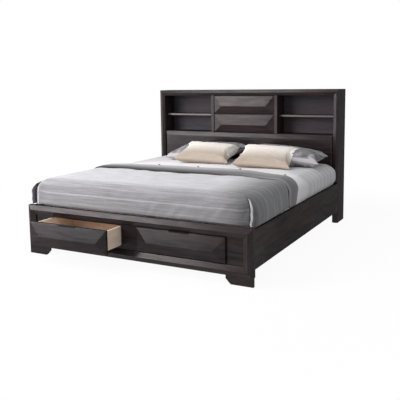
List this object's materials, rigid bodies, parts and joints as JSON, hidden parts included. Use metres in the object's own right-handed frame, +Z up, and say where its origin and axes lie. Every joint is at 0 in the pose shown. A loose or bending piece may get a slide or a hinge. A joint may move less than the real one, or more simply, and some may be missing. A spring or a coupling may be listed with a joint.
{
  "type": "bed with storage headboard",
  "caption": "King-size bed with a bookcase headboard, faceted drawers in headboard and footboard, mattress, duvet and pillows.",
  "frame": {"origin": "on the floor, at the middle of the bounding box with the left footboard drawer open as shown", "axes": "+X to the right seen from the foot, +Y from the footboard to the headboard, +Z up"},
  "size_m": [2.1, 2.6304, 1.36],
  "materials": {
    "dark_wood": "dark espresso stain under satin lacquer, fine open grain",
    "drawer_wood": "clear sealed pale solid wood",
    "slat_wood": "bare planed pine",
    "back_ply": "dark stained plywood, matt",
    "pull_metal": "satin black paint",
    "sheet_cloth": "woven cotton, grey tone-on-tone stripe",
    "duvet_cloth": "woven cotton, grey tone-on-tone stripe",
    "cream_cloth": "smooth cream cotton",
    "grey_cloth": null
  },
  "bodies": {
    "bed_frame": {"headboard_post_left": "dark_wood", "headboard_post_right": "dark_wood", "headboard_top": "dark_wood", "headboard_moulding_top": "dark_wood", "headboard_moulding_left": "dark_wood", "headboard_moulding_right": "dark_wood", "bookcase_divider_left": "dark_wood", "bookcase_divider_right": "dark_wood", "bookcase_floor": "dark_wood", "bookcase_shelf_left": "dark_wood", "bookcase_shelf_right": "dark_wood", "headboard_lower_panel": "dark_wood", "headboard_drawer_shelf": "dark_wood", "footboard_panel": "dark_wood", "footboard_moulding_top": "dark_wood", "footboard_moulding_bottom": "dark_wood", "footboard_moulding_left": "dark_wood", "footboard_moulding_right": "dark_wood", "footboard_foot_left": "dark_wood", "footboard_foot_right": "dark_wood", "side_rail_left": "dark_wood", "side_rail_right": "dark_wood", "headboard_back_panel": "back_ply", "drawer_runner_left": "slat_wood", "ledger_left": "slat_wood", "grey_pillow_left": "grey_cloth", "cream_pillow_left": "cream_cloth", "drawer_runner_right": "slat_wood", "ledger_right": "slat_wood", "grey_pillow_right": "grey_cloth", "cream_pillow_right": "cream_cloth", "drawer_stretcher": "slat_wood", "slat_roll": "slat_wood", "centre_beam": "slat_wood", "centre_leg_1": "slat_wood", "centre_leg_2": "slat_wood", "mattress": "sheet_cloth", "duvet": "duvet_cloth"},
    "footboard_drawer_left": {"footboard_drawer_left_front": "dark_wood", "footboard_drawer_left_side_left": "drawer_wood", "footboard_drawer_left_side_right": "drawer_wood", "footboard_drawer_left_back": "drawer_wood", "footboard_drawer_left_bottom": "drawer_wood", "footboard_drawer_left_pull": "pull_metal"},
    "footboard_drawer_right": {"footboard_drawer_right_front": "dark_wood", "footboard_drawer_right_side_left": "drawer_wood", "footboard_drawer_right_side_right": "drawer_wood", "footboard_drawer_right_back": "drawer_wood", "footboard_drawer_right_bottom": "drawer_wood", "footboard_drawer_right_pull": "pull_metal"},
    "headboard_drawer_upper": {"headboard_drawer_upper_front": "dark_wood", "headboard_drawer_upper_side_left": "drawer_wood", "headboard_drawer_upper_side_right": "drawer_wood", "headboard_drawer_upper_back": "drawer_wood", "headboard_drawer_upper_bottom": "drawer_wood"},
    "headboard_drawer_lower": {"headboard_drawer_lower_front": "dark_wood", "headboard_drawer_lower_side_left": "drawer_wood", "headboard_drawer_lower_side_right": "drawer_wood", "headboard_drawer_lower_back": "drawer_wood", "headboard_drawer_lower_bottom": "drawer_wood"}
  },
  "joints": [
    {"name": "footboard_drawer_left_slide", "type": "slide", "parent": "bed_frame", "child": "footboard_drawer_left", "axis": [0, -1, 0], "range_m": [-0.205, 0.19]},
    {"name": "footboard_drawer_right_slide", "type": "slide", "parent": "bed_frame", "child": "footboard_drawer_right", "axis": [0, -1, 0], "range_m": [0, 0.395]},
    {"name": "headboard_drawer_upper_slide", "type": "slide", "parent": "bed_frame", "child": "headboard_drawer_upper", "axis": [0, -1, 0], "range_m": [0, 0.13]},
    {"name": "headboard_drawer_lower_slide", "type": "slide", "parent": "bed_frame", "child": "headboard_drawer_lower", "axis": [0, -1, 0], "range_m": [0, 0.13]}
  ]
}
